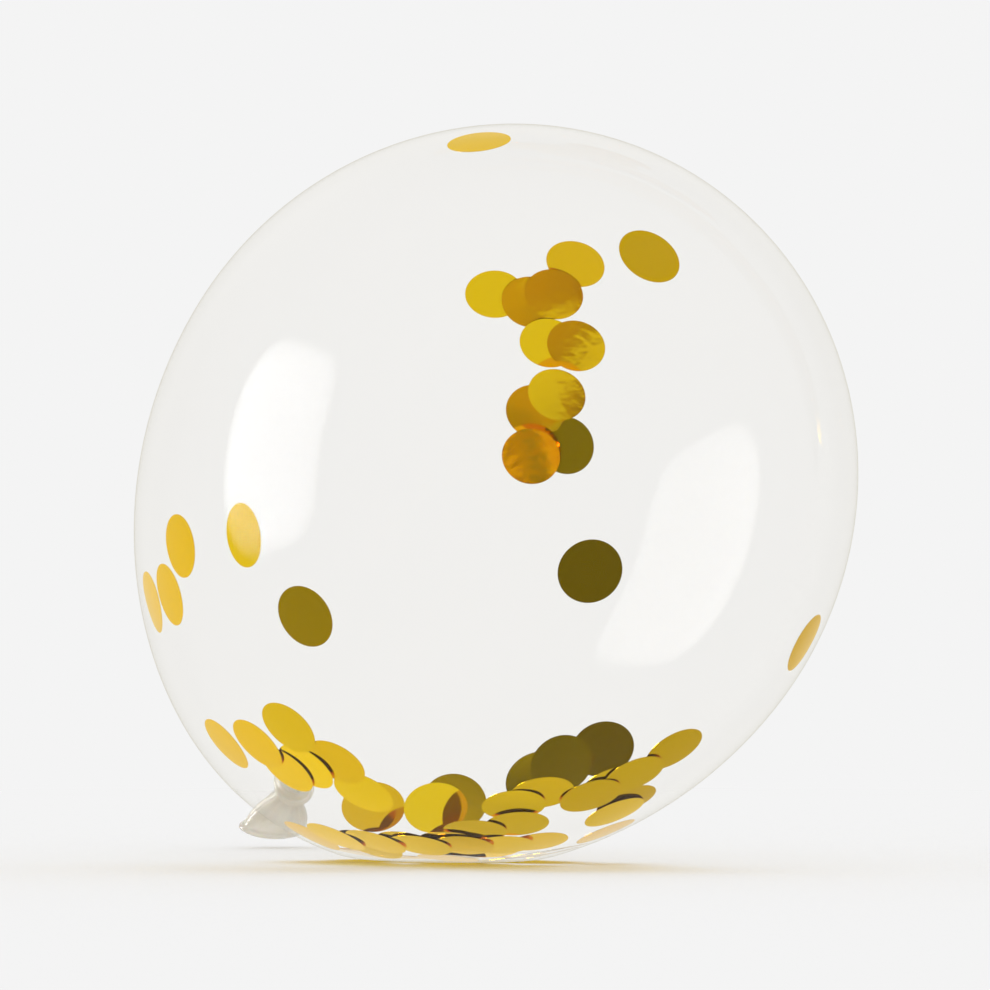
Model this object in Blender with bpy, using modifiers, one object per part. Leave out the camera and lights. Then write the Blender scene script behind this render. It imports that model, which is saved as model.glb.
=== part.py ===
"""A confetti balloon: a 12 inch clear latex balloon, air filled and tied, lying on its side.

Metres, +Z up. The balloon rests on the small flat spot under its belly, and the origin is on that spot,
under the lowest point of the round body. The crown points along -Y and a little up, the neck along +Y
and a little down. It is one moulded piece of latex: body, neck, knot, tail and rolled lip are one solid.
In the balloon's own frame, before it is laid down, the axis is Z, with the crown at the top.
"""

import math

import bmesh
import bpy
import numpy as np
from mathutils import Matrix

# Body of the balloon, inflated
body_width = 0.282  # across the axis, side to side
body_height = 0.282  # across the axis, the other way
crown_length = 0.152  # widest ring to the tip of the crown
pear_length = 0.194  # widest ring to where the pear would close to a point
pear_slimming = 0.14  # how much slimmer than an ellipse the neck side gets
shoulder_angle = 70.0  # degrees round the pear where the body turns out into the neck
neck_tilt = 35.0  # degrees that the neck points below level
rest_depth = 0.0050  # how far the belly is pressed flat where it lies

# Neck, knot and tail
neck_radius = 0.0065  # limp neck, before the knot pulls it in
neck_length = 0.020  # from where the pear would close to the middle of the knot
squeezed_radius = 0.0036  # neck and tail where the knot grips them
strand_radius = 0.0036  # latex strand that the knot is tied from
strand_bite = 0.0016  # how deep the strand presses into the neck
ring_lean = 16.0  # degrees that the knot's ring leans on the neck
crossing_side = 40.0  # degrees round the axis where the strand crosses its ring
crossing_slant = 30.0  # degrees that the crossing strand slants each way
tail_length = 0.026  # middle of the knot to the middle of the rolled lip
mouth_radius = 0.0105  # to the middle of the rolled lip, while the mouth is round
lip_radius = 0.0014  # half the thickness of the rolled lip
tail_wall = 0.0010  # latex of the tail, unstretched
mouth_flattening = 0.40  # share of its height that the mouth loses as it flattens
tail_droop = 22.0  # degrees that the tail sags by its end

# Fineness of the mesh
body_segments = 56
crown_rings = 15
pear_rings = 15
shoulder_rings = 7
ring_segments = 24
strand_sides = 12
crossing_points = 13
tail_segments = 28
tail_rings = 8
lip_sides = 9
belly_steps = 400  # tries that find where the tilted pear is lowest

body_radius = body_width / 2
knot_height = -pear_length - neck_length
ring_radius = squeezed_radius + strand_radius - strand_bite


def clear_scene():
    for thing in list(bpy.data.objects):
        bpy.data.objects.remove(thing)


def new_collection(name):
    made = bpy.data.collections.new(name)
    bpy.context.scene.collection.children.link(made)
    return made


def latex_material():
    """Clear latex with a faint warm tint."""
    made = bpy.data.materials.new("clear_latex")
    made.use_nodes = True
    shader = made.node_tree.nodes["Principled BSDF"]
    shader.inputs["Base Color"].default_value = (0.93, 0.91, 0.86, 1.0)
    shader.inputs["Roughness"].default_value = 0.12
    shader.inputs["Metallic"].default_value = 0.0
    shader.inputs["Alpha"].default_value = 0.35
    return made


def put_in(collection, thing, material):
    """Moves a mesh object to its collection and gives it its finish."""
    for old in list(thing.users_collection):
        old.objects.unlink(thing)
    collection.objects.link(thing)
    thing.data.materials.clear()
    thing.data.materials.append(material)
    thing.data.shade_smooth()
    return thing


def make_tool(thing):
    """A solid that only cuts or joins another is drawn as wires and isn't rendered."""
    thing.hide_render = True
    thing.display_type = "WIRE"


def meshed(source):
    """Puts a plain, welded mesh object in place of a curve or of an object with modifiers."""
    bpy.context.view_layer.update()
    evaluated = source.evaluated_get(bpy.context.evaluated_depsgraph_get())
    mesh = bpy.data.meshes.new_from_object(evaluated)
    name = source.name
    place = source.matrix_world.copy()
    bpy.data.objects.remove(source)
    edited = bmesh.new()
    edited.from_mesh(mesh)
    bmesh.ops.remove_doubles(edited, verts=edited.verts, dist=0.000001)
    bmesh.ops.recalc_face_normals(edited, faces=edited.faces)
    edited.to_mesh(mesh)
    edited.free()
    made = bpy.data.objects.new(name, mesh)
    made.matrix_world = place
    bpy.context.scene.collection.objects.link(made)
    return made


def turned(name, points, segments):
    """Closed solid of revolution about Z. The (radius, height) points run down the outer side."""
    mesh = bpy.data.meshes.new(name)
    corners = [(float(radius), 0.0, float(height)) for radius, height in points]
    mesh.from_pydata(corners, [(i, i + 1) for i in range(len(corners) - 1)], [])
    outline = bpy.data.objects.new(name, mesh)
    bpy.context.scene.collection.objects.link(outline)
    screw = outline.modifiers.new("turn", "SCREW")
    screw.steps = segments
    screw.render_steps = segments
    screw.use_merge_vertices = True
    screw.merge_threshold = 0.000001
    return meshed(outline)


def pear_point(angle):
    """(radius, height) on the neck side of the body, for an angle in radians from the widest ring."""
    slim = 1 - pear_slimming * math.sin(angle) ** 2
    return np.array([body_radius * math.cos(angle) * slim, -pear_length * math.sin(angle)])


def shoulder_points():
    """The hollow turn from the pear to the narrow neck: a curve that keeps the line of each end."""
    turn = math.radians(shoulder_angle)
    start = pear_point(turn)
    end = np.array([neck_radius, -pear_length - neck_length / 4])
    reach = np.linalg.norm(end - start)
    leaving = start - pear_point(turn - 0.001)
    leaving *= reach / np.linalg.norm(leaving)
    arriving = np.array([0.0, -reach])
    points = []
    for share in np.arange(1, shoulder_rings + 1) / shoulder_rings:
        square, cube = share**2, share**3
        points.append(
            (2 * cube - 3 * square + 1) * start
            + (cube - 2 * square + share) * leaving
            + (3 * square - 2 * cube) * end
            + (cube - square) * arriving
        )
    return points


def body_points():
    """Outer line of body and neck, from the tip of the crown down to inside the knot."""
    tip = [np.array([0.0, crown_length])]
    crown_angles = np.linspace(math.pi / 2, 0, crown_rings, endpoint=False)[1:]
    crown = [np.array([body_radius * math.cos(a), crown_length * math.sin(a)]) for a in crown_angles]
    pear = [pear_point(a) for a in np.linspace(0, math.radians(shoulder_angle), pear_rings)]
    gripped = np.array([squeezed_radius, knot_height + strand_radius])
    inside_knot = np.array([0.0, knot_height])
    return tip + crown + pear + shoulder_points() + [gripped, inside_knot]


def make_body():
    body = turned("balloon", body_points(), body_segments)
    body.data.transform(Matrix.Diagonal((1, body_height / body_width, 1, 1)))
    return body


def make_ring():
    """The loop of the knot, round the neck."""
    bpy.ops.mesh.primitive_torus_add(
        major_radius=ring_radius,
        minor_radius=strand_radius,
        major_segments=ring_segments,
        minor_segments=strand_sides,
    )
    ring = bpy.context.object
    ring.name = "knot_ring"
    lean = Matrix.Rotation(math.radians(ring_lean), 4, "X")
    ring.data.transform(Matrix.Translation((0, 0, knot_height)) @ lean)
    return ring


def make_crossing():
    """The strand that crosses over the ring, from the neck to the tail."""
    curve = bpy.data.curves.new("knot_crossing", "CURVE")
    curve.dimensions = "3D"
    curve.bevel_depth = strand_radius
    curve.bevel_resolution = strand_sides // 4
    curve.use_fill_caps = True
    line = curve.splines.new("POLY")
    line.points.add(crossing_points - 1)
    reach_out = ring_radius + strand_bite
    reach_along = 2 * strand_radius - strand_bite
    for i, point in enumerate(line.points):
        turn = math.pi * (0.5 - i / (crossing_points - 1))
        side = math.radians(crossing_side + crossing_slant * math.sin(turn))
        out = reach_out * math.cos(turn)
        point.co = (
            out * math.cos(side),
            out * math.sin(side),
            knot_height + reach_along * math.sin(turn),
            1,
        )
    crossing = bpy.data.objects.new("knot_crossing", curve)
    bpy.context.scene.collection.objects.link(crossing)
    return meshed(crossing)


def tail_radius(way):
    """Outer radius of the round tail at a way down it from the middle of the knot."""
    share = max(0.0, way - strand_radius) / (tail_length - strand_radius)
    return squeezed_radius + (mouth_radius - squeezed_radius) * math.sin(share * math.pi / 2)


def tail_points():
    """Outer side of the open tail, round its rolled lip and back up the inside."""
    wall_angle = math.asin(tail_wall / (2 * lip_radius))
    last_way = tail_length - lip_radius * math.cos(wall_angle)
    ways = np.linspace(strand_radius, last_way, tail_rings, endpoint=False)
    start = [(0.0, 0.0), (squeezed_radius, 0.0)]
    outside = [(tail_radius(way), -way) for way in ways]
    lip = []
    for turn in np.linspace(math.pi / 2 - wall_angle, -1.5 * math.pi + wall_angle, lip_sides):
        lip.append((mouth_radius + lip_radius * math.cos(turn), -tail_length + lip_radius * math.sin(turn)))
    inside = [(tail_radius(way) - tail_wall, -way) for way in ways[:0:-1]]
    return start + outside + lip + inside + [(0.0, -ways[1] + tail_wall)]


def flattened_and_drooping(point):
    """Where a point of the straight round tail goes as the mouth flattens and the tail sags."""
    way = -point.z
    share = min(max(way / tail_length, 0.0), 1.0)
    flat = mouth_flattening * share**2 * (3 - 2 * share)
    bend = math.radians(tail_droop) / tail_length
    turn = bend * way
    across = point.x * (1 + flat)
    up = point.y * (1 - flat)
    down_line = (math.cos(turn) - 1) / bend if bend else 0.0
    along_line = -math.sin(turn) / bend if bend else -way
    return across, down_line + up * math.cos(turn), along_line - up * math.sin(turn)


def make_tail():
    tail = turned("tail", tail_points(), tail_segments)
    for vertex in tail.data.vertices:
        vertex.co = flattened_and_drooping(vertex.co)
    tail.data.transform(Matrix.Translation((0, 0, knot_height)))
    return tail


def lowest_point():
    """Lowest point of the tilted pear about its own origin, as (y, z)."""
    tilt = math.radians(neck_tilt)
    half = body_height / body_width
    found = []
    for angle in np.linspace(0, math.radians(shoulder_angle), belly_steps):
        radius, height = pear_point(angle)
        z = -radius * half * math.cos(tilt) + height * math.sin(tilt)
        y = -radius * half * math.sin(tilt) - height * math.cos(tilt)
        found.append((z, y))
    z, y = min(found)
    return y, z


def lay_down(body):
    """Tilts the body and puts its belly rest_depth below the floor plane, over the origin."""
    y, z = lowest_point()
    body.rotation_euler = (math.radians(90 - neck_tilt), 0, 0)
    body.location = (0, -y, -z - rest_depth)


def make_floor_cutter():
    """What is below the floor plane is cut away, which leaves the flat spot."""
    bpy.ops.mesh.primitive_cube_add(size=1)
    cutter = bpy.context.object
    cutter.name = "floor_cutter"
    place = Matrix.Translation((0, 0, -body_height / 4))
    cutter.data.transform(place @ Matrix.Diagonal((body_width, body_width, body_height / 2, 1)))
    return cutter


def combine(body, tool, operation):
    change = body.modifiers.new(operation.lower() + "_" + tool.name, "BOOLEAN")
    change.operation = operation
    change.solver = "EXACT"
    change.object = tool
    make_tool(tool)


clear_scene()
shown = new_collection("confetti_balloon")
tools = new_collection("confetti_balloon_tools")
latex = latex_material()

balloon = put_in(shown, make_body(), latex)
lay_down(balloon)
for joined in (make_ring(), make_crossing(), make_tail()):
    put_in(tools, joined, latex)
    joined.parent = balloon
    combine(balloon, joined, "UNION")
combine(balloon, put_in(tools, make_floor_cutter(), latex), "DIFFERENCE")
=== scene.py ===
import math

import bpy
import numpy as np
from mathutils import Matrix, Quaternion, Vector


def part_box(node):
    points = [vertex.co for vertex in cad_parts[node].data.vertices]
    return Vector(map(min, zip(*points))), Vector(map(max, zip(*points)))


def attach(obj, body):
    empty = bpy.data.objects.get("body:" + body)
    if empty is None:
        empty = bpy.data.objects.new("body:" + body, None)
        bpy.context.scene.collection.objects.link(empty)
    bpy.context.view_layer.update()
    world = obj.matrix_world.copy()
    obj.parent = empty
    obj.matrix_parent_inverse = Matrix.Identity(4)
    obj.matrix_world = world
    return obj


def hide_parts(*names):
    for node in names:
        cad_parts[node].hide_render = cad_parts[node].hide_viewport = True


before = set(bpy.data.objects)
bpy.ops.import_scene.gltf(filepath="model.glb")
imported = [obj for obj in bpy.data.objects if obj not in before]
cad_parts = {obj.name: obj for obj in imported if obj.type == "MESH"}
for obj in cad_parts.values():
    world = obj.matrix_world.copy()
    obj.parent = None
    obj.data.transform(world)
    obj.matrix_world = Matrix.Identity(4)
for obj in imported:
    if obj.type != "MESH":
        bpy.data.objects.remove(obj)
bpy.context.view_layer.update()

# THE BALLOON'S SKIN
# The skin is clear latex, dipped on a round-nosed mould and stretched by air from a third of this size.
# It is thinnest on the round body and thick where the neck gathers into the knot.
# It is drawn here by the same rule as the solid that it stands for, as one skin with two faces.

node_low, node_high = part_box("balloon")
body_width = node_high.x - node_low.x
body_height = 0.282  # across the axis, the other way
crown_length = 0.152  # widest ring to the tip of the crown
pear_length = 0.194  # widest ring to where the pear would close to a point
pear_slimming = 0.14  # how much slimmer than an ellipse the neck side gets
shoulder_turn = math.radians(70.0)  # where the pear turns out into the neck
neck_tilt = math.radians(35.0)  # how far the neck points below level
rest_depth = 0.0050  # how far the belly is pressed flat
belly_softness = 0.001  # how softly the pressed spot bends up into the belly
neck_radius = 0.0065  # limp neck, before the knot pulls it in
neck_length = 0.020
squeezed_radius = 0.0036  # neck and tail where the knot grips them
strand_radius = 0.0036  # strand that the knot is tied from
knot_height = -pear_length - neck_length
tall = body_height / body_width

crown_rows = 90
pear_rows = 90
shoulder_rows = 40
belly_steps = 400  # tries that find where the tilted pear is lowest
skin_columns = 193
skin_rings = 170
ring_crowding = 1.5  # above 1 brings the rings closer together by the neck
seam_gap = 0.00001
pleats = 17.0
pleat_depth = 0.10  # share of the neck's radius
pleat_reach = 0.012  # how far the pleats run up into the shoulder
broad_waves = 5.0
broad_share = 0.6  # of the pleats' depth

latex_thickness = 0.00018
clear_alpha = 0.25
neck_alpha = 0.45
clear_share = 0.983  # of what enters the wall, the part that isn't hazed
clear_tint = (0.972, 0.958, 0.925, 1)
neck_tint = (0.95, 0.91, 0.83, 1)
latex_absorption = 55.0
latex_colour = (0.56, 0.50, 0.28, 1)


def pear_point(turn):
    """(radius, height) on the neck side of the body, for an angle from the widest ring."""
    slim = 1 - pear_slimming * math.sin(turn) ** 2
    return np.array([body_width / 2 * math.cos(turn) * slim, -pear_length * math.sin(turn)])


def shoulder_point(share):
    """The hollow turn from the pear to the narrow neck, at a share of its way."""
    start = pear_point(shoulder_turn)
    end = np.array([neck_radius, -pear_length - neck_length / 4])
    reach = np.linalg.norm(end - start)
    leaving = start - pear_point(shoulder_turn - 0.001)
    leaving *= reach / np.linalg.norm(leaving)
    arriving = np.array([0.0, -reach])
    square, cube = share**2, share**3
    return (
        (2 * cube - 3 * square + 1) * start
        + (cube - 2 * square + share) * leaving
        + (3 * square - 2 * cube) * end
        + (cube - square) * arriving
    )


def skin_outline():
    """Outer line of body and neck from the crown's tip into the knot, as (radius, height) rows."""
    crown = [
        np.array([body_width / 2 * math.cos(turn), crown_length * math.sin(turn)])
        for turn in np.linspace(math.pi / 2, 0, crown_rows, endpoint=False)
    ]
    pear = [pear_point(turn) for turn in np.linspace(0, shoulder_turn, pear_rows, endpoint=False)]
    shoulder = [shoulder_point(share) for share in np.linspace(0, 1, shoulder_rows)]
    gripped = np.array([squeezed_radius, knot_height + strand_radius])
    rows = np.array(crown + pear + shoulder + [gripped, np.array([0.0, knot_height])])
    rows[0, 0] = 0.0
    return rows


def lying_matrix():
    """Lays the upright balloon on its belly, with the pressed spot at the origin."""
    lowest = min(
        (
            height * math.sin(neck_tilt) - radius * tall * math.cos(neck_tilt),
            -height * math.cos(neck_tilt) - radius * tall * math.sin(neck_tilt),
        )
        for radius, height in map(pear_point, np.linspace(0, shoulder_turn, belly_steps))
    )
    tilt = Matrix.Rotation(math.pi / 2 - neck_tilt, 4, "X")
    return Matrix.Translation((0, -lowest[1], -lowest[0] - rest_depth)) @ tilt


def node(tree, kind, links=(), **settings):
    """Adds a node. Links give an input, by its name or number, a value or the socket that feeds it."""
    made = tree.nodes.new(kind)
    for name, value in settings.items():
        setattr(made, name, value)
    for where, value in dict(links).items():
        if isinstance(value, bpy.types.NodeSocket):
            tree.links.new(value, made.inputs[where])
        else:
            made.inputs[where].default_value = value
    return made


def sums(tree, operation, first, second=0.0):
    """One step of arithmetic in a tree, as a socket."""
    return node(tree, "ShaderNodeMath", {0: first, 1: second}, operation=operation).outputs[0]


def new_tree(name, sizes):
    """A Geometry Nodes tree with a geometry input and output and named size inputs."""
    tree = bpy.data.node_groups.new(name, "GeometryNodeTree")
    tree.interface.new_socket("Geometry", in_out="INPUT", socket_type="NodeSocketGeometry")
    tree.interface.new_socket("Geometry", in_out="OUTPUT", socket_type="NodeSocketGeometry")
    for size, kind in sizes.items():
        tree.interface.new_socket(size, in_out="INPUT", socket_type="NodeSocket" + kind)
    return tree, tree.nodes.new("NodeGroupInput"), tree.nodes.new("NodeGroupOutput")


def object_from(name, mesh):
    """A new object in the scene that shows a mesh."""
    made = bpy.data.objects.new(name, mesh)
    bpy.context.scene.collection.objects.link(made)
    return made


def applied(thing):
    """The mesh that an object's modifiers make. The object itself goes."""
    bpy.context.view_layer.update()
    evaluated = thing.evaluated_get(bpy.context.evaluated_depsgraph_get())
    mesh = bpy.data.meshes.new_from_object(evaluated)
    bpy.data.objects.remove(thing)
    return mesh


def grown(thing, tree, values):
    """Runs a Geometry Nodes tree on an object and returns the result as a plain mesh."""
    modifier = thing.modifiers.new(tree.name, "NODES")
    modifier.node_group = tree
    for socket in tree.interface.items_tree:
        if socket.in_out == "INPUT" and socket.name in values:
            modifier[socket.identifier] = values[socket.name]
    return applied(thing)


def skin_tree(material, neck_material):
    """Turns the outline round the axis, pleats it near the knot and presses the belly flat."""
    tree, given, result = new_tree(
        "turn_the_skin",
        {
            "Sides": "Int",
            "Rings": "Int",
            "Tall": "Float",
            "Pleats": "Float",
            "Pleat Depth": "Float",
            "Pleats Start": "Float",
            "Pleats End": "Float",
            "Thick Start": "Float",
            "Thick End": "Float",
            "Tilt": "Float",
            "Place": "Vector",
            "Softness": "Float",
        },
    )
    size = given.outputs
    sheet = node(
        tree,
        "GeometryNodeMeshGrid",
        {"Size X": 1.0, "Size Y": 1.0, "Vertices X": size["Sides"], "Vertices Y": size["Rings"]},
    )
    where = node(tree, "ShaderNodeSeparateXYZ", {0: node(tree, "GeometryNodeInputPosition").outputs[0]})
    turn = sums(tree, "MULTIPLY", sums(tree, "ADD", where.outputs[0], 0.5), -math.tau)
    left = sums(tree, "SUBTRACT", 0.5, where.outputs[1])
    along = sums(tree, "SUBTRACT", 1.0, sums(tree, "POWER", left, ring_crowding))
    outline = node(tree, "GeometryNodeMeshToCurve", {"Mesh": size["Geometry"]})
    sampled = node(
        tree,
        "GeometryNodeSampleCurve",
        {"Curves": outline.outputs[0], "Factor": along},
        mode="FACTOR",
    )
    line = node(tree, "ShaderNodeSeparateXYZ", {0: sampled.outputs["Position"]})
    gathered = node(
        tree,
        "ShaderNodeMapRange",
        {
            0: line.outputs[2],
            1: size["Pleats Start"],
            2: size["Pleats End"],
            3: 0.0,
            4: size["Pleat Depth"],
        },
        interpolation_type="SMOOTHSTEP",
    )
    fine = sums(tree, "COSINE", sums(tree, "MULTIPLY", turn, size["Pleats"]))
    broad = sums(tree, "SINE", sums(tree, "MULTIPLY", turn, broad_waves))
    wave = sums(tree, "ADD", fine, sums(tree, "MULTIPLY", broad, broad_share))
    swell = sums(tree, "ADD", 1.0, sums(tree, "MULTIPLY", gathered.outputs[0], wave))
    radius = sums(tree, "MULTIPLY", line.outputs[0], swell)
    x = sums(tree, "MULTIPLY", radius, sums(tree, "COSINE", turn))
    y = sums(tree, "MULTIPLY", sums(tree, "MULTIPLY", radius, sums(tree, "SINE", turn)), size["Tall"])
    round_place = node(tree, "ShaderNodeCombineXYZ", {0: x, 1: y, 2: line.outputs[2]})
    thick = node(
        tree,
        "ShaderNodeMapRange",
        {0: line.outputs[2], 1: size["Thick Start"], 2: size["Thick End"], 3: 0.0, 4: 1.0},
        interpolation_type="SMOOTHSTEP",
    )
    marked = node(
        tree,
        "GeometryNodeStoreNamedAttribute",
        {"Geometry": sheet.outputs["Mesh"], "Name": "thick", "Value": thick.outputs[0]},
        data_type="FLOAT",
        domain="POINT",
    )
    turned = node(
        tree,
        "GeometryNodeSetPosition",
        {"Geometry": marked.outputs[0], "Position": round_place.outputs[0]},
    )
    sealed = node(
        tree, "GeometryNodeMergeByDistance", {"Geometry": turned.outputs[0], "Distance": seam_gap}
    )
    tilt = node(tree, "ShaderNodeCombineXYZ", {0: size["Tilt"]})
    laid = node(
        tree,
        "GeometryNodeTransform",
        {"Geometry": sealed.outputs[0], "Translation": size["Place"], "Rotation": tilt.outputs[0]},
    )
    spot = node(tree, "ShaderNodeSeparateXYZ", {0: node(tree, "GeometryNodeInputPosition").outputs[0]})
    z = spot.outputs[2]
    height_square = sums(tree, "MULTIPLY", z, z)
    softness_square = sums(tree, "MULTIPLY", size["Softness"], size["Softness"])
    root = sums(tree, "SQRT", sums(tree, "ADD", height_square, softness_square))
    pressed_z = sums(tree, "MULTIPLY", sums(tree, "ADD", z, root), 0.5)
    pressed_place = node(
        tree, "ShaderNodeCombineXYZ", {0: spot.outputs[0], 1: spot.outputs[1], 2: pressed_z}
    )
    pressed = node(
        tree,
        "GeometryNodeSetPosition",
        {"Geometry": laid.outputs[0], "Position": pressed_place.outputs[0]},
    )
    smooth = node(tree, "GeometryNodeSetShadeSmooth", {"Geometry": pressed.outputs[0]})
    clear = node(tree, "GeometryNodeSetMaterial", {"Geometry": smooth.outputs[0], "Material": material})
    marks = node(tree, "GeometryNodeInputNamedAttribute", {"Name": "thick"}, data_type="FLOAT")
    neck = node(tree, "FunctionNodeCompare", {0: marks.outputs[0], 1: 0.0}, operation="GREATER_THAN")
    finished = node(
        tree,
        "GeometryNodeSetMaterial",
        {"Geometry": clear.outputs[0], "Selection": neck.outputs[0], "Material": neck_material},
    )
    tree.links.new(finished.outputs[0], result.inputs[0])
    return tree


def new_material(name, **values):
    """A material with plain values on its shader, given by input name with _ for a space."""
    made = bpy.data.materials.new(name)
    made.use_nodes = True
    shader = made.node_tree.nodes["Principled BSDF"]
    for key, value in values.items():
        shader.inputs[key.replace("_", " ")].default_value = value
    return made, made.node_tree, shader


def mixed(tree, share, first, second):
    """A colour that goes from the first to the second as the share goes from 0 to 1."""
    return node(tree, "ShaderNodeMix", {0: share, 6: first, 7: second}, data_type="RGBA").outputs[2]


def latex_wall(name, **values):
    """A thin latex wall: see-through, sharply glossy, and it takes a little light on the way through."""
    made, tree, shader = new_material(
        name,
        Roughness=0.0,
        IOR=1.0,
        Transmission_Weight=clear_share,
        Coat_Weight=1.0,
        Coat_Roughness=0.03,
        Coat_IOR=1.2,
        **values,
    )
    taken = node(tree, "ShaderNodeVolumeAbsorption", {"Color": latex_colour, "Density": latex_absorption})
    tree.links.new(taken.outputs[0], tree.nodes["Material Output"].inputs["Volume"])
    return made, tree, shader


def clear_latex():
    """Stretched latex, with a faint haze in it."""
    return latex_wall("clear_latex", Base_Color=clear_tint, Alpha=clear_alpha)[0]


def neck_latex():
    """The same latex where it is hardly stretched: it turns milky and faintly amber towards the knot."""
    made, tree, shader = latex_wall("neck_latex")
    thick = node(tree, "ShaderNodeAttribute", attribute_name="thick").outputs["Fac"]
    tree.links.new(mixed(tree, thick, clear_tint, neck_tint), shader.inputs["Base Color"])
    body = node(tree, "ShaderNodeMapRange", {0: thick, 1: 0.0, 2: 1.0, 3: clear_alpha, 4: neck_alpha})
    tree.links.new(body.outputs[0], shader.inputs["Alpha"])
    return made


outline_rows = skin_outline()
outline_mesh = bpy.data.meshes.new("skin_outline")
outline_mesh.from_pydata(
    [(radius, 0, height) for radius, height in outline_rows],
    [(i, i + 1) for i in range(len(outline_rows) - 1)],
    [],
)
lie = lying_matrix()
skin_mesh = grown(
    object_from("skin_outline", outline_mesh),
    skin_tree(clear_latex(), neck_latex()),
    {
        "Sides": skin_columns,
        "Rings": skin_rings,
        "Tall": tall,
        "Pleats": pleats,
        "Pleat Depth": pleat_depth,
        "Pleats Start": -pear_length + pleat_reach,
        "Pleats End": -pear_length - neck_length / 2,
        "Thick Start": -pear_length,
        "Thick End": -pear_length - neck_length / 2,
        "Tilt": math.pi / 2 - neck_tilt,
        "Place": lie.translation,
        "Softness": belly_softness,
    },
)
skin = object_from("balloon_skin", skin_mesh)
wall = skin.modifiers.new("wall", "SOLIDIFY")
wall.thickness = latex_thickness
wall.offset = -1
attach(skin, "root")
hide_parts("balloon")

# THE KNOT AND TAIL
# The neck is tied in an overhand knot on itself: a ring round the neck, and the strand that crosses it.
# Below it the tail flares out to the rolled lip of the mould. All of it is thick, hardly stretched latex.

strand_bite = 0.0016  # how deep the strand presses into the neck
ring_lean = math.radians(16.0)  # how far the knot's ring leans on the neck
crossing_side = 40.0  # degrees round the axis where the strand crosses its ring
crossing_slant = 30.0  # degrees that the crossing strand slants each way
ring_radius = squeezed_radius + strand_radius - strand_bite
strand_fullness = 0.96  # leaves room for the folds that stand out of the strand
strand_folds = 7
fold_depth = 0.09  # share of the strand's radius
strand_sides = 56
ring_steps = 96
crossing_steps = 48
core_steps = 24
core_above = 2.2  # strand radii that the squeezed latex runs up inside the neck
core_below = 1.6  # strand radii that it runs down inside the tail

tail_length = 0.026  # middle of the knot to the middle of the rolled lip
mouth_radius = 0.0105  # to the middle of the rolled lip, while the mouth is round
lip_radius = 0.0014
tail_wall = 0.0010
mouth_flattening = 0.40  # share of its height that the mouth loses as it flattens
tail_droop = math.radians(22.0)  # how far the tail sags by its end
tail_rows = 40
tail_start = 0.4  # strand radii below the middle of the knot
lip_rows = 20
tail_sides = 96
funnel_floor = 6  # row of the tail where the funnel closes inside
tail_pleat_depth = 0.11
tail_pleats = 9
tail_waves = 4
lip_waviness = 0.05
lip_waves = 3
knot_grain = 0.0003  # fineness that the fused latex is drawn with


def swept(line, sides, closed, section):
    """A tube along a line of points. The section gives its radius for (share along, turn round)."""
    count = len(line)
    line = [Vector(point) for point in line]
    corners = []
    for i, point in enumerate(line):
        ahead = line[(i + 1) % count] if closed else line[min(i + 1, count - 1)]
        behind = line[(i - 1) % count] if closed else line[max(i - 1, 0)]
        forward = (ahead - behind).normalized()
        side = Vector((0, 0, 1)).cross(forward)
        side = side.normalized() if side.length > 0.1 else Vector((1, 0, 0)).cross(forward).normalized()
        over = forward.cross(side)
        for j in range(sides):
            turn = math.tau * j / sides
            out = section(i / count, turn)
            corners.append(point + side * out * math.cos(turn) + over * out * math.sin(turn))
    faces = []
    for i in range(count if closed else count - 1):
        for j in range(sides):
            here, there = i * sides, (i + 1) % count * sides
            faces.append((here + j, here + (j + 1) % sides, there + (j + 1) % sides, there + j))
    if not closed:
        faces.append(tuple(range(sides))[::-1])
        faces.append(tuple((count - 1) * sides + j for j in range(sides)))
    return corners, faces


def folded(radius, twist):
    """Section of a strand whose latex lies in lengthwise folds that wind round it a little."""
    return lambda share, turn: radius * (1 + fold_depth * math.cos(strand_folds * turn + twist * share))


def knot_ring():
    """The loop of the knot, round the neck."""
    line = []
    for turn in np.linspace(0, math.tau, ring_steps, endpoint=False):
        place = Vector((ring_radius * math.cos(turn), ring_radius * math.sin(turn), 0))
        line.append(Matrix.Rotation(ring_lean, 3, "X") @ place + Vector((0, 0, knot_height)))
    return swept(line, strand_sides, True, folded(strand_radius * strand_fullness, 3 * math.tau))


def knot_crossing():
    """The strand that crosses over the loop, from the neck to the tail."""
    line = []
    for turn in np.linspace(math.pi / 2, -math.pi / 2, crossing_steps):
        side = math.radians(crossing_side + crossing_slant * math.sin(turn))
        out = (ring_radius + strand_bite) * math.cos(turn)
        rise = (2 * strand_radius - strand_bite) * math.sin(turn)
        line.append((out * math.cos(side), out * math.sin(side), knot_height + rise))
    return swept(line, strand_sides, False, folded(strand_radius * strand_fullness, math.tau))


def knot_core():
    """The squeezed latex inside the ring, from the neck through to the tail."""
    rises = np.linspace(core_above * strand_radius, -core_below * strand_radius, core_steps)
    line = [(0, 0, knot_height + rise) for rise in rises]
    return swept(line, strand_sides, False, folded(squeezed_radius, math.pi))


def tail_radius(way):
    """Outer radius of the round tail at a way down it from the middle of the knot."""
    share = max(0.0, way - strand_radius) / (tail_length - strand_radius)
    return squeezed_radius + (mouth_radius - squeezed_radius) * math.sin(share * math.pi / 2)


def flattened_and_drooping(point):
    """Where a point of the straight round tail goes as the mouth flattens and the tail sags."""
    way = -point.z
    share = min(max(way / tail_length, 0.0), 1.0)
    flat = mouth_flattening * share**2 * (3 - 2 * share)
    bend = tail_droop / tail_length
    turn = bend * way
    up = point.y * (1 - flat)
    down_line = (math.cos(turn) - 1) / bend
    along_line = -math.sin(turn) / bend
    across_line = point.x * (1 + flat)
    return Vector((across_line, down_line + up * math.cos(turn), along_line - up * math.sin(turn)))


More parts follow.
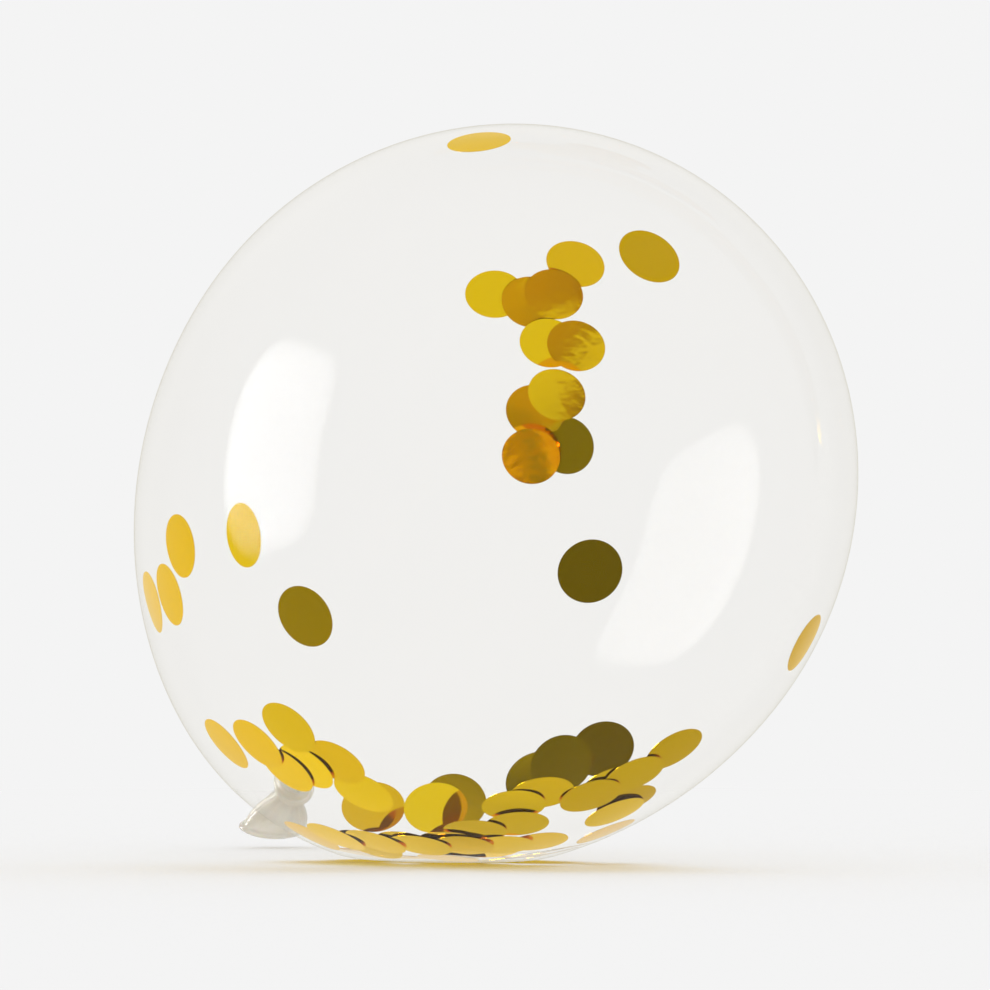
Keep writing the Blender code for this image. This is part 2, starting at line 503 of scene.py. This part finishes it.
def tail():
    """The flared tail: a pleated funnel that smooths out to its rolled lip."""
    edge_angle = math.asin(tail_wall / (2 * lip_radius))
    last_way = tail_length - lip_radius * math.cos(edge_angle)
    ways = np.linspace(tail_start * strand_radius, last_way, tail_rows, endpoint=False)
    rows = [(0.0, ways[0])]
    rows += [(tail_radius(way), way) for way in ways]
    for turn in np.linspace(math.pi / 2 - edge_angle, -1.5 * math.pi + edge_angle, lip_rows):
        way = tail_length - lip_radius * math.sin(turn)
        rows.append((mouth_radius + lip_radius * math.cos(turn), way))
    rows += [(tail_radius(way) - tail_wall, way) for way in ways[: funnel_floor - 1 : -1]]
    rows.append((0.0, ways[funnel_floor] + tail_wall))
    corners, faces = [], []
    # The small turns added to the waves keep them from lining up
    for radius, way in rows:
        share = way / tail_length
        depth = tail_pleat_depth * math.sin(math.pi * min(share, 1.0)) ** 0.8 if share < 1 else 0.0
        for j in range(tail_sides):
            turn = math.tau * j / tail_sides
            wave = math.cos(tail_pleats * turn + 2.2 * share) + 0.7 * math.sin(tail_waves * turn + 1.1)
            lip_wave = lip_waviness * share**3 * math.sin(lip_waves * turn + 0.6)
            out = radius + (tail_radius(way) if radius else 0.0) * (0.6 * depth * wave + lip_wave)
            place = Vector((out * math.cos(turn), out * math.sin(turn), -way))
            corners.append(flattened_and_drooping(place) + Vector((0, 0, knot_height)))
    for i in range(len(rows) - 1):
        here, there = i * tail_sides, (i + 1) * tail_sides
        for j in range(tail_sides):
            beside = (j + 1) % tail_sides
            faces.append((here + j, there + j, there + beside, here + beside))
    return corners, faces


def fused(name, pieces):
    """Fuses closed pieces into one smooth skin, as soft latex that is pulled tight."""
    made = bpy.data.meshes.new(name)
    corners, faces = [], []
    for piece_corners, piece_faces in pieces:
        faces += [tuple(len(corners) + i for i in face) for face in piece_faces]
        corners += [tuple(corner) for corner in piece_corners]
    made.from_pydata(corners, [], faces)
    thing = object_from(name, made)
    remesh = thing.modifiers.new("fuse", "REMESH")
    remesh.mode = "VOXEL"
    remesh.voxel_size = knot_grain
    soften = thing.modifiers.new("soften", "SMOOTH")
    soften.iterations = 3
    soften.factor = 0.5
    result = applied(thing)
    result.transform(lie)
    result.shade_smooth()
    return object_from(name, result)


def noise(tree, scale, detail):
    """Soft random blotches in the object's own space."""
    place = node(tree, "ShaderNodeTexCoord").outputs["Object"]
    return node(
        tree, "ShaderNodeTexNoise", {"Vector": place, "Scale": scale, "Detail": detail}
    ).outputs["Fac"]


def roughen(tree, shader, height, strength, distance):
    """Lets a pattern stand out of the surface as fine relief."""
    bump = node(tree, "ShaderNodeBump", {"Height": height, "Strength": strength, "Distance": distance})
    tree.links.new(bump.outputs[0], shader.inputs["Normal"])


def knot_latex():
    """Thick gathered latex: milky, faintly amber, with a soft gloss and fine creases."""
    made, tree, shader = new_material(
        "knot_latex",
        Roughness=0.32,
        IOR=1.45,
        Alpha=0.7,
        Transmission_Weight=0.35,
        Subsurface_Weight=0.5,
        Subsurface_Radius=(0.004, 0.003, 0.002),
        Coat_Weight=0.6,
        Coat_Roughness=0.08,
    )
    cloud = noise(tree, 260.0, 4.0)
    tint = mixed(tree, cloud, (0.93, 0.89, 0.80, 1), (0.84, 0.77, 0.62, 1))
    tree.links.new(tint, shader.inputs["Base Color"])
    roughen(tree, shader, noise(tree, 900.0, 3.0), 0.25, 0.0004)
    return made


knot = fused("balloon_knot", [knot_ring(), knot_crossing(), knot_core(), tail()])
knot.data.materials.append(knot_latex())
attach(knot, "root")
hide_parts("balloon")

# THE CONFETTI
# Round discs punched from thin gold metallised film, mirror bright on both sides.
# They lie loose inside: most have slid to the belly in a shingled heap, and some cling to the skin.

disc_radius = 0.0125
disc_thickness = 0.00005
disc_sides = 40
disc_gap = 0.00010  # air between one disc and the next, or the skin
disc_curl = 0.00025  # most that a disc's two edges bend up

# Where the camera stands: degrees round from the front, degrees up, and metres off the balloon's middle
view_turn = math.radians(-30.0)
view_rise = math.radians(-1.5)
view_distance = 2.2
middle_right = -0.0017  # from the middle of the widest ring to the middle of what the camera sees
middle_up = -0.0027

# Discs on the skin: metres right and up of the middle as the camera sees them, on the near side (1)
# or the far side (-1), and for some a lean to the right and up in degrees
clinging = [
    (0.0620, 0.0960, 1),
    (0.0382, -0.0307, 1),
    (-0.0763, -0.0488, 1),
    (-0.0065, 0.1419, 1),
    (-0.1265, -0.0205, 1),
    (0.1243, -0.0594, 1),
    (-0.1308, -0.0400, 1),
    (-0.1028, -0.0165, 1, 14, 0),
    (-0.1376, -0.0430, 1),
    (0.0323, 0.0929, -1),
    (-0.0001, 0.0807, -1),
    (0.0146, 0.0782, -1, 0, 6),
    (0.0238, 0.0813, -1),
    (0.0219, 0.0617, -1),
    (0.0329, 0.0605, -1),
    (0.0287, 0.0202, -1, 0, 4),
    (0.0164, 0.0342, -1, 2, -4),
    (0.0256, 0.0416, -1, 0, -8),
    (0.0152, 0.0165, -1, 6, -4),
]

# Discs of the heap: metres right and up of the middle. Those with more values are propped on the rest:
# turn of the seen oval in degrees, its shortness, and whether the seen face looks up (1) or down (-1)
heaped = [
    (-0.1080, -0.1000),
    (-0.0955, -0.1000),
    (-0.0830, -0.0935),
    (-0.0840, -0.1105),
    (-0.0762, -0.1095),
    (-0.0640, -0.1075),
    (-0.0530, -0.1200),
    (-0.0640, -0.1375),
    (-0.0480, -0.1395),
    (-0.0300, -0.1410),
    (-0.0130, -0.1413),
    (0.0030, -0.1410),
    (0.0170, -0.1398),
    (-0.0350, -0.1400),
    (-0.0180, -0.1400),
    (-0.0080, -0.1355),
    (0.0090, -0.1325),
    (0.0075, -0.1250),
    (0.0480, -0.1275),
    (0.0385, -0.1210),
    (0.0560, -0.1125),
    (0.0720, -0.1025),
    (0.0470, -0.1165),
    (0.0530, -0.1235),
    (0.0190, -0.1200),
    (0.0445, -0.1352),
    (-0.0487, -0.1248, 0, 0.80, -1),
    (-0.0237, -0.1252, 5, 0.80, -1),
    (-0.0160, -0.1225, -12, 0.85, 1),
    (0.0265, -0.1075, 32, 0.85, 1),
    (0.0430, -0.1015, 22, 0.82, 1),
    (0.0165, -0.1135, 30, 0.80, 1),
]

# Discs that fill the part of the heap that the photo hides
heap_discs = 26
heap_tries = 400
heap_spread = 0.030
heap_reach = 0.065  # farthest from the pressed spot's middle
heap_back = 0.030  # farthest behind the balloon's middle
heap_height = 0.12  # the skin under a disc is looked for up to here

# How finely a disc's place is looked for
inner_spots = 10  # spots of a disc that are tried against what lies under it
rim_spots = 24
search_reach = 0.22  # more than the balloon's half length
search_steps = 500
search_slack = 0.002  # more than one step of the search
halvings = 22  # rounds that narrow down where a line meets the skin
slope_reach = 1.2  # first range of slopes that are tried for a disc, and it narrows round by round
slope_tries = 13
slope_rounds = 5
slope_narrowing = 5
touching = 2.2 * disc_radius  # discs whose middles are farther apart than this can't touch
slide_step = 0.0001
slide_steps = 700


def toward_camera(turn, rise):
    """Direction from the balloon for an angle round from the front and an angle up."""
    return Vector((math.sin(turn) * math.cos(rise), -math.cos(turn) * math.cos(rise), math.sin(rise)))


view_back = np.array(toward_camera(view_turn, view_rise))
view_right = np.array((math.cos(view_turn), math.sin(view_turn), 0))
view_up = np.cross(view_back, view_right)
balloon_middle = lie.translation + Vector(middle_right * view_right + middle_up * view_up)
eye = np.array(balloon_middle) + view_distance * view_back
unlay = np.array(lie.inverted())
line_heights = outline_rows[::-1, 1]
line_radii = outline_rows[::-1, 0]


def depth_inside(points):
    """How far points are inside the skin's inner face, seen square to the axis. Outside is negative."""
    points = np.atleast_2d(points).astype(float)
    pressed = np.maximum(points[:, 2] - latex_thickness, 1e-6)
    loose = np.column_stack([points[:, :2], pressed - belly_softness**2 / (4 * pressed)])
    local = loose @ unlay[:3, :3].T + unlay[:3, 3]
    out = np.hypot(local[:, 0], local[:, 1] / tall)
    return np.interp(local[:, 2], line_heights, line_radii) - latex_thickness - out


def inward(point):
    """Unit direction square to the skin at a point, into the balloon."""
    step = 0.0005
    slope = [
        depth_inside(point + step * axis)[0] - depth_inside(point - step * axis)[0] for axis in np.eye(3)
    ]
    return np.array(slope) / np.linalg.norm(slope)


def skin_along(starts, way, near=-0.02, far=0.03):
    """How far along a direction each start meets the skin's inner face, going from outside to inside."""
    low = np.full(len(starts), near)
    high = np.full(len(starts), far)
    for _ in range(halvings):
        middle = (low + high) / 2
        inside = depth_inside(starts + middle[:, None] * way) > 0
        high = np.where(inside, middle, high)
        low = np.where(inside, low, middle)
    return (low + high) / 2


def seen_at(right, up, side):
    """The point of the skin that the camera sees at an offset, on its near side (1) or far side (-1)."""
    aim = np.array(balloon_middle) + right * view_right + up * view_up
    sight = (eye - aim) / np.linalg.norm(eye - aim)
    depths = np.linspace(-search_reach, search_reach, search_steps)
    inside = depths[depth_inside(aim + depths[:, None] * sight) > 0]
    edge = inside.max() if side > 0 else inside.min()
    start = aim + edge * sight
    inside_way = -side * sight
    return start + skin_along(start[None], inside_way, -search_slack, search_slack)[0] * inside_way


def across(normal):
    """Two directions in the plane square to a normal."""
    helper = np.array([0, 0, 1.0]) if abs(normal[2]) < 0.9 else np.array([1.0, 0, 0])
    first = np.cross(helper, normal)
    first /= np.linalg.norm(first)
    return first, np.cross(normal, first)


disc_samples = [(0.0, 0.0)]
for share, count in ((0.55, inner_spots), (1.0, rim_spots)):
    for turn in np.arange(count) * math.tau / count:
        disc_samples.append((share * math.cos(turn), share * math.sin(turn)))
disc_samples = np.array(disc_samples) * disc_radius
rim_samples = disc_samples[-rim_spots:]
discs = []


def crossing(first_disc, second_disc):
    """Whether two flat discs cut through each other."""
    apart = second_disc["place"] - first_disc["place"]
    if np.linalg.norm(apart) > 2 * disc_radius:
        return False
    line = np.cross(first_disc["normal"], second_disc["normal"])
    steepness = np.linalg.norm(line)
    if steepness < 1e-4:
        return abs(apart @ first_disc["normal"]) < disc_gap
    line /= steepness
    planes = np.array([first_disc["normal"], second_disc["normal"], line])
    levels = [0.0, apart @ second_disc["normal"], 0.0]
    point = np.linalg.solve(planes, levels)
    spans = []
    for centre in (np.zeros(3), apart):
        middle = (centre - point) @ line
        off = np.linalg.norm(centre - point - middle * line)
        if off > disc_radius:
            return False
        half = math.sqrt(disc_radius**2 - off**2)
        spans.append((middle - half, middle + half))
    return max(spans[0][0], spans[1][0]) < min(spans[0][1], spans[1][1])


def laid_on(spot, lean_right=0.0, lean_up=0.0):
    """Lowest steady place of a flat disc over a spot of the skin, on the skin and the discs there."""
    normal = inward(spot)
    first, second = across(normal)
    places = spot + disc_samples[:, :1] * first + disc_samples[:, 1:] * second
    offsets = [disc_samples]
    heights = [skin_along(places, normal) + disc_gap]
    for other in discs:
        if np.linalg.norm(other["place"] - spot) > touching:
            continue
        facing = normal @ other["normal"]
        if facing > 0.3:
            rise = (other["place"] - places) @ other["normal"] / facing
            met = places + rise[:, None] * normal
            covered = np.linalg.norm(met - other["place"], axis=1) < disc_radius
            offsets.append(disc_samples[covered])
            heights.append(rise[covered] + disc_thickness + disc_gap)
        edge_first, edge_second = across(other["normal"])
        rim = other["place"] + rim_samples[:, :1] * edge_first + rim_samples[:, 1:] * edge_second
        rim_offsets = np.column_stack([(rim - spot) @ first, (rim - spot) @ second])
        under = np.linalg.norm(rim_offsets, axis=1) < disc_radius
        offsets.append(rim_offsets[under])
        heights.append((rim[under] - spot) @ normal + disc_thickness + disc_gap)
    offsets = np.vstack(offsets)
    heights = np.concatenate(heights)
    if lean_right or lean_up:
        way = math.tan(math.radians(lean_right)) * view_right + math.tan(math.radians(lean_up)) * view_up
        slope = -np.array([way @ first, way @ second])
        lift = (heights - offsets @ slope).max()
    else:
        slope, width = np.zeros(2), slope_reach
        for _ in range(slope_rounds):
            steps = np.linspace(-width, width, slope_tries)
            tries = np.array([(slope[0] + a, slope[1] + b) for a in steps for b in steps])
            tops = (heights[None] - tries @ offsets.T).max(axis=1)
            slope = tries[tops.argmin()]
            width /= slope_narrowing
        lift = tops.min()
    facing = normal - slope[0] * first - slope[1] * second
    facing /= np.linalg.norm(facing)
    return {"place": spot + lift * normal, "normal": facing}


def leaning_at(right, up, long_turn, shortness, face):
    """A disc propped on the heap, by the oval that it shows. It slides back until nothing cuts it."""
    turn = math.radians(long_turn)
    short_way = face * (-math.sin(turn) * view_right + math.cos(turn) * view_up)
    start = seen_at(right, up, 1)
    sight = eye - start
    sight /= np.linalg.norm(sight)
    facing = shortness * sight + math.sqrt(1 - shortness**2) * short_way
    facing /= np.linalg.norm(facing)
    inner = facing if facing @ inward(start) > 0 else -facing
    first, second = across(inner)
    for step in range(slide_steps):
        place = start - step * slide_step * sight
        rim = place + disc_samples[:, :1] * first + disc_samples[:, 1:] * second
        disc = {"place": place, "normal": inner}
        if depth_inside(rim).min() > disc_gap and not any(crossing(disc, other) for other in discs):
            return disc
    raise ValueError("no room for a propped disc")


chance = np.random.default_rng(12)  # a fixed seed, so that each run lays the same heap
for right, up, side, *lean in clinging:
    discs.append(laid_on(seen_at(right, up, side), *lean))
for right, up, *oval in heaped:
    disc = leaning_at(right, up, *oval) if oval else laid_on(seen_at(right, up, 1))
    discs.append(disc)
full_count = len(discs) + heap_discs
tries_left = heap_tries
upward = np.array([0, 0, 1.0])
while len(discs) < full_count and tries_left:
    tries_left -= 1
    offset = chance.normal(0, heap_spread, 2)
    if np.linalg.norm(offset) > heap_reach or (offset - balloon_middle[:2]) @ view_back[:2] < -heap_back:
        continue
    start = np.array([[offset[0], offset[1], 0.0]])
    spot = start[0] + skin_along(start, upward, 0.0, heap_height)[0] * upward
    disc = laid_on(spot)
    if not any(crossing(disc, other) for other in discs):
        discs.append(disc)


def disc_tree(material):
    """Puts one disc on every point, turned as the point says and faintly curled away from the skin."""
    sizes = {"Radius": "Float", "Thickness": "Float", "Sides": "Int"}
    tree, given, result = new_tree("scatter_discs", sizes)
    size = given.outputs
    plain = node(
        tree,
        "GeometryNodeMeshCylinder",
        {
            "Vertices": size["Sides"],
            "Fill Segments": 3,
            "Radius": size["Radius"],
            "Depth": size["Thickness"],
        },
        fill_type="TRIANGLE_FAN",
    )
    place = node(tree, "GeometryNodeInputPosition").outputs[0]
    own_place = node(
        tree,
        "GeometryNodeStoreNamedAttribute",
        {"Geometry": plain.outputs["Mesh"], "Name": "own", "Value": place},
        data_type="FLOAT_VECTOR",
        domain="POINT",
    )
    flat_sides = node(
        tree,
        "GeometryNodeSetShadeSmooth",
        {"Geometry": own_place.outputs[0], "Selection": plain.outputs["Side"], "Shade Smooth": False},
    )
    turn = node(tree, "GeometryNodeInputNamedAttribute", {"Name": "turn"}, data_type="FLOAT_VECTOR")
    angles = node(tree, "FunctionNodeEulerToRotation", {0: turn.outputs[0]})
    spread = node(
        tree,
        "GeometryNodeInstanceOnPoints",
        {"Points": size["Geometry"], "Instance": flat_sides.outputs[0], "Rotation": angles.outputs[0]},
    )
    real = node(tree, "GeometryNodeRealizeInstances", {"Geometry": spread.outputs[0]})
    own = node(tree, "GeometryNodeInputNamedAttribute", {"Name": "own"}, data_type="FLOAT_VECTOR")
    own_x = node(tree, "ShaderNodeSeparateXYZ", {0: own.outputs[0]}).outputs[0]
    share = sums(tree, "DIVIDE", own_x, size["Radius"])
    curl = node(tree, "GeometryNodeInputNamedAttribute", {"Name": "curl"}, data_type="FLOAT")
    rise = sums(tree, "MULTIPLY", curl.outputs[0], sums(tree, "MULTIPLY", share, share))
    away = node(tree, "GeometryNodeInputNamedAttribute", {"Name": "facing"}, data_type="FLOAT_VECTOR")
    lifted = node(tree, "ShaderNodeVectorMath", {0: away.outputs[0], "Scale": rise}, operation="SCALE")
    curled = node(
        tree, "GeometryNodeSetPosition", {"Geometry": real.outputs[0], "Offset": lifted.outputs[0]}
    )
    finished = node(tree, "GeometryNodeSetMaterial", {"Geometry": curled.outputs[0], "Material": material})
    tree.links.new(finished.outputs[0], result.inputs[0])
    return tree


def gold_foil():
    """Gold metallised film, mirror bright, with a fine grain and a tone that differs from disc to disc."""
    made, tree, shader = new_material("gold_foil", Metallic=0.93, Specular_Tint=(1.0, 0.86, 0.5, 1))
    tone = node(tree, "ShaderNodeAttribute", attribute_name="tone").outputs["Fac"]
    tint = mixed(tree, tone, (0.94, 0.66, 0.006, 1), (0.83, 0.52, 0.004, 1))
    tree.links.new(tint, shader.inputs["Base Color"])
    grain = noise(tree, 1400.0, 3.0)
    rough = node(tree, "ShaderNodeMapRange", {0: grain, 1: 0.3, 2: 0.7, 3: 0.05, 4: 0.10})
    tree.links.new(rough.outputs[0], shader.inputs["Roughness"])
    roughen(tree, shader, noise(tree, 260.0, 2.0), 0.2, 0.0002)
    return made


centres_mesh = bpy.data.meshes.new("disc_centres")
centres_mesh.from_pydata([tuple(disc["place"]) for disc in discs], [], [])
turns = []
for disc in discs:
    spin = Quaternion((0, 0, 1), chance.uniform(0, math.tau))
    turns.append((Vector(disc["normal"]).to_track_quat("Z", "Y") @ spin).to_euler())
for name, kind, field, values in (
    ("turn", "FLOAT_VECTOR", "vector", [tuple(turn) for turn in turns]),
    ("facing", "FLOAT_VECTOR", "vector", [tuple(disc["normal"]) for disc in discs]),
    ("curl", "FLOAT", "value", list(chance.uniform(0, disc_curl, len(discs)))),
    ("tone", "FLOAT", "value", list(chance.uniform(0, 1, len(discs)))),
):
    attribute = centres_mesh.attributes.new(name, kind, "POINT")
    attribute.data.foreach_set(field, np.array(values, np.float32).ravel())
confetti_mesh = grown(
    object_from("disc_centres", centres_mesh),
    disc_tree(gold_foil()),
    {"Radius": disc_radius, "Thickness": disc_thickness, "Sides": disc_sides},
)
confetti = object_from("gold_confetti", confetti_mesh)
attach(confetti, "root")

# LIGHT, FLOOR AND CAMERA
# A pale seamless set: a round white floor that fades into a pale room. The foil and the gloss mirror the
# studio round it: a tall soft light on the left, a panel overhead, and a dark side behind the camera.

floor_radius = 1.5
floor_sides = 64
fade_start = 0.25
fade_end = 1.4
room_tone = 0.905
light_turn = math.radians(83)  # from the camera round to the left
light_rise = math.radians(7.5)
light_half_width = 0.30  # sine of the angle from its middle to its edge
light_half_height = 0.385
light_squareness = 3.5  # 2 would be an oval, and more is squarer
light_brightness = 23.0

camera_data = bpy.data.cameras.new("camera")
camera_data.sensor_width = 36
camera_data.lens = 200
camera = bpy.data.objects.new("camera", camera_data)
bpy.context.scene.collection.objects.link(camera)
back = toward_camera(view_turn, view_rise)
camera.location = balloon_middle + back * view_distance
camera.rotation_mode = "QUATERNION"
camera.rotation_quaternion = (-back).to_track_quat("-Z", "Y")
bpy.context.scene.camera = camera


def smooth_step(tree, value, low, high, least, most):
    """A soft step from one value to another."""
    return node(
        tree,
        "ShaderNodeMapRange",
        {0: value, 1: low, 2: high, 3: least, 4: most},
        interpolation_type="SMOOTHSTEP",
    ).outputs[0]


floor_mesh = bpy.data.meshes.new("floor")
floor_turns = np.linspace(0, math.tau, floor_sides, endpoint=False)
floor_mesh.from_pydata(
    [(floor_radius * math.cos(turn), floor_radius * math.sin(turn), 0) for turn in floor_turns],
    [],
    [list(range(floor_sides))],
)
floor = object_from("floor", floor_mesh)
floor_paint, paint, floor_shader = new_material(
    "floor_paint", Base_Color=(1.0, 1.0, 1.0, 1), Roughness=1.0, Specular_IOR_Level=0.0
)
floor_place = node(paint, "ShaderNodeTexCoord").outputs["Object"]
reach = node(paint, "ShaderNodeVectorMath", {0: floor_place}, operation="LENGTH").outputs["Value"]
fade = smooth_step(paint, reach, fade_start, fade_end, 1.0, 0.0)
paint.links.new(fade, floor_shader.inputs["Alpha"])
floor_mesh.materials.append(floor_paint)
floor.visible_glossy = False
floor.visible_transmission = False

world = bpy.data.worlds.new("studio")
bpy.context.scene.world = world
world.use_nodes = True
sky = world.node_tree
sky.nodes.clear()
ways = node(sky, "ShaderNodeTexCoord").outputs["Generated"]


def along_way(way):
    """How far the looked-at direction of the room runs along a given one, from -1 to 1."""
    return node(sky, "ShaderNodeVectorMath", {0: ways, 1: way}, operation="DOT_PRODUCT").outputs["Value"]


# How bright the studio is by the angle from straight behind the balloon, in degrees
tones = [
    (0, 0.88),
    (14, 0.89),
    (28, 1.0),
    (52, 1.0),
    (68, 0.80),
    (84, 0.58),
    (98, 0.27),
    (110, 0.06),
    (138, 0.15),
    (180, 0.13),
]
angle = sums(sky, "ARCCOSINE", along_way(-toward_camera(view_turn, 0.0)))
room = node(sky, "ShaderNodeValToRGB", {0: sums(sky, "DIVIDE", angle, math.pi)})
ramp = room.color_ramp
ramp.interpolation = "EASE"
while len(ramp.elements) < len(tones):
    ramp.elements.new(0.5)
for element, (degrees, tone) in zip(ramp.elements, tones):
    element.position = degrees / 180
for element, (degrees, tone) in zip(ramp.elements, tones):
    element.color = (tone, tone, tone, 1)

# Each soft step runs from one side of the room to another, and then gives the brightness at its two ends
upness = along_way((0, 0, 1))
beside = along_way(view_right)
left_bright = smooth_step(sky, beside, -0.50, 0.05, 1.0, 0.60)
right_dim = smooth_step(sky, beside, 0.10, 0.60, 1.0, 0.85)
straight_behind = smooth_step(sky, angle, math.radians(20), math.radians(64), 1.0, 0.0)
ceiling = smooth_step(sky, upness, 0.20, 0.60, 1.0, 1.35)
below = smooth_step(sky, upness, -0.60, -0.90, 0.0, 0.78)
sided = sums(sky, "MULTIPLY", sums(sky, "MAXIMUM", left_bright, straight_behind), right_dim)
lifted = sums(sky, "MULTIPLY", room.outputs[0], sums(sky, "MULTIPLY", sided, ceiling))
room_tones = sums(sky, "MAXIMUM", lifted, below)

overhead = Vector(0.35 * view_right + 0.88 * view_up - 0.30 * view_back).normalized()
panel_edge = math.cos(math.radians(55))
panel_middle = math.cos(math.radians(32))
panel = smooth_step(sky, along_way(overhead), panel_edge, panel_middle, 0.0, 0.60)
soft_tones = sums(sky, "MAXIMUM", room_tones, panel)

light_way = toward_camera(view_turn - light_turn, light_rise)
light_side = Vector((0, 0, 1)).cross(light_way).normalized()
light_over = light_way.cross(light_side)
across_light = sums(sky, "DIVIDE", sums(sky, "ABSOLUTE", along_way(light_side)), light_half_width)
up_light = sums(sky, "DIVIDE", sums(sky, "ABSOLUTE", along_way(light_over)), light_half_height)
squared_across = sums(sky, "POWER", across_light, light_squareness)
squared_up = sums(sky, "POWER", up_light, light_squareness)
off_middle = sums(sky, "ADD", squared_across, squared_up)
inside_light = smooth_step(sky, off_middle, 0.6, 1.5, light_brightness, 0.0)
in_front = smooth_step(sky, along_way(light_way), 0.0, 0.3, 0.0, 1.0)
studio_tone = sums(sky, "ADD", soft_tones, sums(sky, "MULTIPLY", inside_light, in_front))

# Only rays that have been mirrored, and not scattered, see the studio. All others see the plain room
path = node(sky, "ShaderNodeLightPath")
seen = node(sky, "ShaderNodeBackground", {"Color": (room_tone, room_tone, room_tone, 1), "Strength": 1.0})
mirrored = node(sky, "ShaderNodeBackground", {"Color": studio_tone, "Strength": 1.0})
not_scattered = sums(sky, "LESS_THAN", path.outputs["Diffuse Depth"], 0.5)
was_mirrored = sums(sky, "GREATER_THAN", path.outputs["Glossy Depth"], 0.5)
mirrored_ray = sums(sky, "MULTIPLY", was_mirrored, not_scattered)
by_ray = node(sky, "ShaderNodeMixShader", {0: mirrored_ray, 1: seen.outputs[0], 2: mirrored.outputs[0]})
node(sky, "ShaderNodeOutputWorld", {0: by_ray.outputs[0]})
world.cycles.sampling_method = "NONE"
bpy.context.scene.view_settings.view_transform = "Standard"
